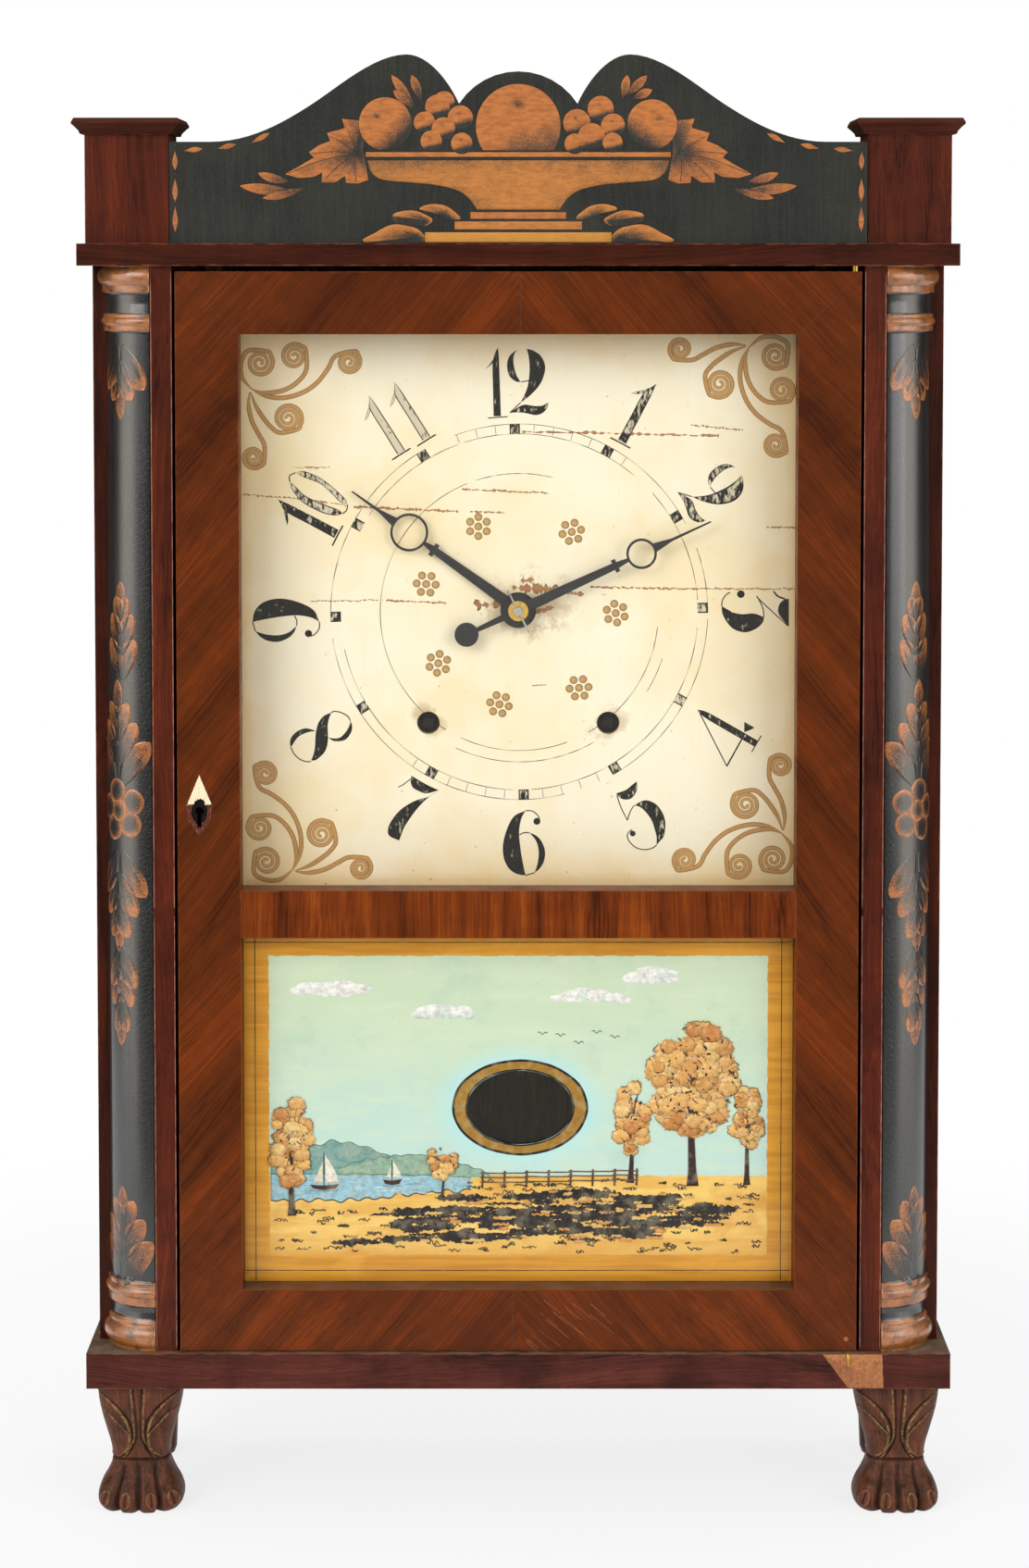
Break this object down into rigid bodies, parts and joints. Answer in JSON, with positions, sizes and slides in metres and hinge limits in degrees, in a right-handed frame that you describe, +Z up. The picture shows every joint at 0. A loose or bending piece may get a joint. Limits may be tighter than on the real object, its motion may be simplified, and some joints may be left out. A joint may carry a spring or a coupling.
{
  "type": "shelf clock",
  "caption": "Weight-driven shelf clock with half columns, a shaped splat, carved paw feet and a hinged glazed door over a painted dial and tablet.",
  "frame": {"origin": "middle of the plan at the floor, under the bounding box", "axes": "+Z up, door faces -Y, +X to the right of someone who faces the door"},
  "size_m": [0.434, 0.124, 0.7223],
  "materials": {
    "mahogany": "old shellac over figured veneer",
    "carved_mahogany": "worn stain on carving",
    "black_paint": "black paint with bronze-powder stencilling",
    "pine": "bare softwood",
    "glass": "clear sheet glass",
    "painted_glass": "glass painted on its back",
    "brass": "aged brass",
    "bone": "polished bone",
    "steel": "filed steel",
    "dial_paint": "cream paint with fine cracks",
    "blued_steel": "blackened sheet steel",
    "oak": "quarter-sawn oak",
    "cherry": "turned cherry",
    "iron": "rough casting"
  },
  "bodies": {
    "root": {"base_board": "mahogany", "side_boards": "mahogany", "jambs": "mahogany", "door_strips": "mahogany", "half_columns": "black_paint", "top_board": "mahogany", "back_board": "pine", "partitions": "pine", "movement_battens": "pine", "paw_feet": "carved_mahogany", "rear_feet": "carved_mahogany", "corner_blocks": "mahogany", "block_caps": "mahogany", "splat": "black_paint", "hinge_pins": "brass", "dial": "dial_paint", "dial_pins": "brass", "front_plate": "oak", "back_plate": "oak", "plate_pillars": "pine", "plate_studs": "steel", "bell": "brass", "pulley_brackets": "iron"},
    "door": {"door_stile_left": "mahogany", "door_stile_right": "mahogany", "door_top_rail": "mahogany", "door_mid_rail": "mahogany", "door_bottom_rail": "mahogany", "door_glass": "glass", "painted_tablet": "painted_glass", "glazing_strips": "pine", "escutcheon": "bone", "lock_case": "brass"},
    "lock_bolt": {"lock_bolt": "steel"},
    "minute": {"minute_hand": "blued_steel", "hand_collar": "brass", "centre_arbor": "steel", "cannon_wheel": "cherry"},
    "hour": {"hour_hand": "blued_steel", "hour_wheel": "cherry"},
    "minute_wheel": {"minute_wheel": "cherry"},
    "transfer": {"transfer_wheel": "cherry"},
    "escape": {"escape_wheel": "brass"},
    "third": {"third_wheel": "cherry"},
    "second": {"second_wheel": "cherry"},
    "going_great": {"going_great_wheel": "cherry"},
    "fly": {"fly": "cherry"},
    "warning": {"warning_wheel": "cherry"},
    "pin_wheel": {"pin_wheel": "cherry"},
    "strike_great": {"strike_great_wheel": "cherry"},
    "going_drum": {"going_drum": "cherry"},
    "strike_drum": {"strike_drum": "cherry"},
    "going_weight": {"going_weight": "iron"},
    "strike_weight": {"strike_weight": "iron"},
    "going_pulley": {"going_pulley": "cherry"},
    "strike_pulley": {"strike_pulley": "cherry"},
    "pendulum": {"pendulum_rod": "steel", "pendulum_bob": "brass"},
    "verge": {"verge": "steel"},
    "hammer": {"hammer": "iron"}
  },
  "joints": [
    {"name": "door_swing", "type": "hinge", "parent": "root", "child": "door", "pos_m": [0.1646, -0.0538, 0.35], "axis": [0, 0, 1], "range_deg": [0, 110]},
    {"name": "lock_bolt_throw", "type": "slide", "parent": "door", "child": "lock_bolt", "axis": [-1, 0, 0], "range_m": [0, 0.004]},
    {"name": "minute_hand_turn", "type": "hinge", "parent": "root", "child": "minute", "pos_m": [0, -0.01, 0.4483], "axis": [0, 1, 0], "continuous": true},
    {"name": "hour_hand_turn", "type": "hinge", "parent": "root", "child": "hour", "pos_m": [0, -0.02, 0.4483], "axis": [0, 1, 0], "continuous": true},
    {"name": "minute_wheel_turn", "type": "hinge", "parent": "root", "child": "minute_wheel", "pos_m": [0.01928, -0.01, 0.42532], "axis": [0, 1, 0], "continuous": true},
    {"name": "transfer_wheel_turn", "type": "hinge", "parent": "root", "child": "transfer", "pos_m": [0.03765, -0.007, 0.44076], "axis": [0, 1, 0], "continuous": true},
    {"name": "escape_wheel_turn", "type": "hinge", "parent": "root", "child": "escape", "pos_m": [-0.012, 0.02, 0.49056], "axis": [0, 1, 0], "continuous": true},
    {"name": "third_wheel_turn", "type": "hinge", "parent": "root", "child": "third", "pos_m": [0.01403, 0.02, 0.46793], "axis": [0, 1, 0], "continuous": true},
    {"name": "second_wheel_turn", "type": "hinge", "parent": "root", "child": "second", "pos_m": [0.03765, 0.02, 0.44076], "axis": [0, 1, 0], "continuous": true},
    {"name": "going_great_wheel_turn", "type": "hinge", "parent": "root", "child": "going_great", "pos_m": [0.045, 0.011, 0.3913], "axis": [0, 1, 0], "continuous": true},
    {"name": "fly_turn", "type": "hinge", "parent": "root", "child": "fly", "pos_m": [-0.06346, 0.02, 0.49797], "axis": [0, 1, 0], "continuous": true},
    {"name": "warning_wheel_turn", "type": "hinge", "parent": "root", "child": "warning", "pos_m": [-0.04996, 0.02, 0.47459], "axis": [0, 1, 0], "continuous": true},
    {"name": "pin_wheel_turn", "type": "hinge", "parent": "root", "child": "pin_wheel", "pos_m": [-0.03765, 0.02, 0.44076], "axis": [0, 1, 0], "continuous": true},
    {"name": "strike_great_wheel_turn", "type": "hinge", "parent": "root", "child": "strike_great", "pos_m": [-0.045, 0.011, 0.3913], "axis": [0, 1, 0], "continuous": true},
    {"name": "going_drum_winding", "type": "hinge", "parent": "root", "child": "going_drum", "pos_m": [0.045, 0.025, 0.3913], "axis": [0, 1, 0], "range_deg": [0, 1563]},
    {"name": "strike_drum_winding", "type": "hinge", "parent": "root", "child": "strike_drum", "pos_m": [-0.045, 0.025, 0.3913], "axis": [0, -1, 0], "range_deg": [0, 1563]},
    {"name": "going_weight_lift", "type": "slide", "parent": "root", "child": "going_weight", "axis": [0, 0, 1], "range_m": [0, 0.3]},
    {"name": "strike_weight_lift", "type": "slide", "parent": "root", "child": "strike_weight", "axis": [0, 0, 1], "range_m": [0, 0.3]},
    {"name": "going_pulley_turn", "type": "hinge", "parent": "root", "child": "going_pulley", "pos_m": [0.1688, 0.018, 0.5998], "axis": [0, 1, 0], "range_deg": [-1720, 0]},
    {"name": "strike_pulley_turn", "type": "hinge", "parent": "root", "child": "strike_pulley", "pos_m": [-0.1688, 0.018, 0.5998], "axis": [0, -1, 0], "range_deg": [-1720, 0]},
    {"name": "pendulum_swing", "type": "hinge", "parent": "root", "child": "pendulum", "pos_m": [-0.012, -0.0025, 0.52252], "axis": [0, 1, 0], "range_deg": [-2.8, 2.8]},
    {"name": "verge_rock", "type": "hinge", "parent": "root", "child": "verge", "pos_m": [-0.012, 0.02, 0.51352], "axis": [0, 1, 0], "range_deg": [-3.6, 3.6]},
    {"name": "hammer_lift", "type": "hinge", "parent": "root", "child": "hammer", "pos_m": [-0.068, 0.028, 0.4043], "axis": [0, 1, 0], "range_deg": [0, 14]}
  ],
  "couplings": [
    {"joint": "transfer_wheel_turn", "follows": "minute_hand_turn", "ratio": -1},
    {"joint": "minute_wheel_turn", "follows": "minute_hand_turn", "ratio": -0.33333},
    {"joint": "hour_hand_turn", "follows": "minute_hand_turn", "ratio": 0.083333},
    {"joint": "third_wheel_turn", "follows": "escape_wheel_turn", "ratio": -0.095238},
    {"joint": "second_wheel_turn", "follows": "escape_wheel_turn", "ratio": 0.011905},
    {"joint": "going_great_wheel_turn", "follows": "escape_wheel_turn", "ratio": -0.0022676},
    {"joint": "warning_wheel_turn", "follows": "fly_turn", "ratio": -0.125},
    {"joint": "pin_wheel_turn", "follows": "fly_turn", "ratio": 0.015625},
    {"joint": "strike_great_wheel_turn", "follows": "fly_turn", "ratio": -0.0029762},
    {"joint": "going_drum_winding", "follows": "going_weight_lift", "rad_per_m": 90.909},
    {"joint": "going_pulley_turn", "follows": "going_weight_lift", "rad_per_m": -100},
    {"joint": "strike_drum_winding", "follows": "strike_weight_lift", "rad_per_m": 90.909},
    {"joint": "strike_pulley_turn", "follows": "strike_weight_lift", "rad_per_m": -100},
    {"joint": "verge_rock", "follows": "pendulum_swing", "ratio": 1.225}
  ]
}
